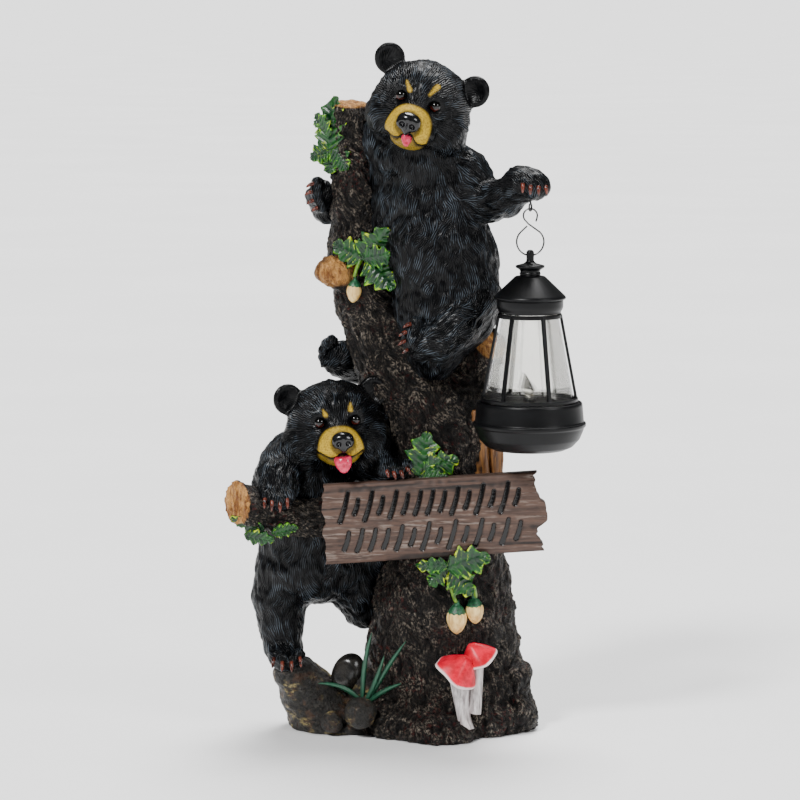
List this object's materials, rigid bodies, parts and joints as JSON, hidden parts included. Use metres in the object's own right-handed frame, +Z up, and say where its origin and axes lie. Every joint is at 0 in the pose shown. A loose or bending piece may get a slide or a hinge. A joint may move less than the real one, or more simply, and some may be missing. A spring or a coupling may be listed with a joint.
{
  "type": "bear garden statue",
  "caption": "Garden statue of bear cubs climbing an oak stump, with a carved board and a small lantern that hangs from a raised paw.",
  "frame": {"origin": "on the ground, on the flat underside of the stump, behind the middle of its foot", "axes": "+Z up along the stump, -Y towards the viewer, so that the board and both faces look along -Y, +X to the viewer's right, where the lantern hangs"},
  "size_m": [0.2274, 0.1461, 0.4433],
  "materials": {
    "painted_resin": "cast resin, hand painted and dry-brushed, satin",
    "black_wire": "black lacquered steel wire",
    "black_plastic": "moulded, satin",
    "clear_plastic": "clear moulded plastic"
  },
  "bodies": {
    "root": {"statue_casting": "painted_resin", "screw_eye": "black_wire", "hanging_hook": "black_wire", "lantern_roof": "black_plastic", "lantern_cage": "black_plastic", "lantern_window": "clear_plastic", "lantern_base": "black_plastic", "lantern_deck": "black_plastic", "lantern_bulb": "clear_plastic"}
  },
  "joints": []
}
